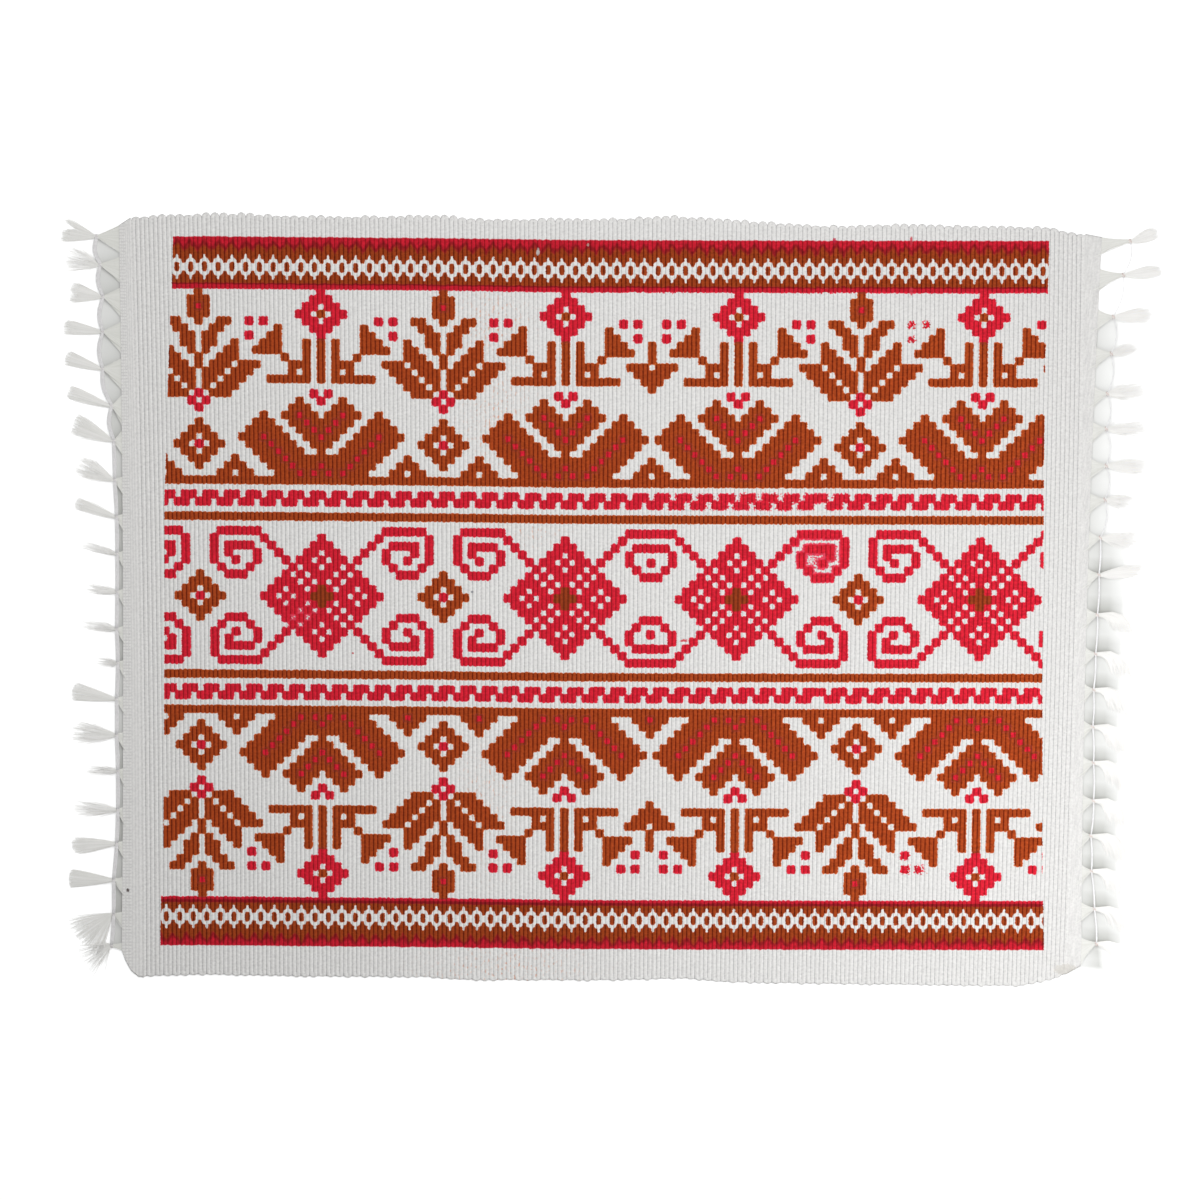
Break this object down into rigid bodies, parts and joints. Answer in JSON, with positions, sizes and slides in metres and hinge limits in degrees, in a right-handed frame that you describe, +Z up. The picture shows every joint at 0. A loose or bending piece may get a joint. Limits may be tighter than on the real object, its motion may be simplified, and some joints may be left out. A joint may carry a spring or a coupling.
{
  "type": "fringed table mat",
  "caption": "Flat ribbed cotton table mat with looped selvedges and a knotted tassel fringe along both short ends.",
  "frame": {"origin": "on the surface under the middle of the mat's box", "axes": "+X along the mat's length from the left fringe to the right fringe, +Y across its width towards the upper selvedge, +Z up out of the printed face"},
  "size_m": [0.477, 0.3358, 0.0031],
  "materials": {
    "printed_cotton": "matt weft-ribbed white cotton with a red and rust print",
    "warp_cotton": "soft loose white cotton warp ends",
    "binding_thread": "fine twisted white thread with a slight sheen"
  },
  "bodies": {
    "root": {"woven_panel": "printed_cotton", "fringe_left": "warp_cotton", "fringe_right": "warp_cotton", "knot_thread_left": "binding_thread", "knot_thread_right": "binding_thread"}
  },
  "joints": []
}
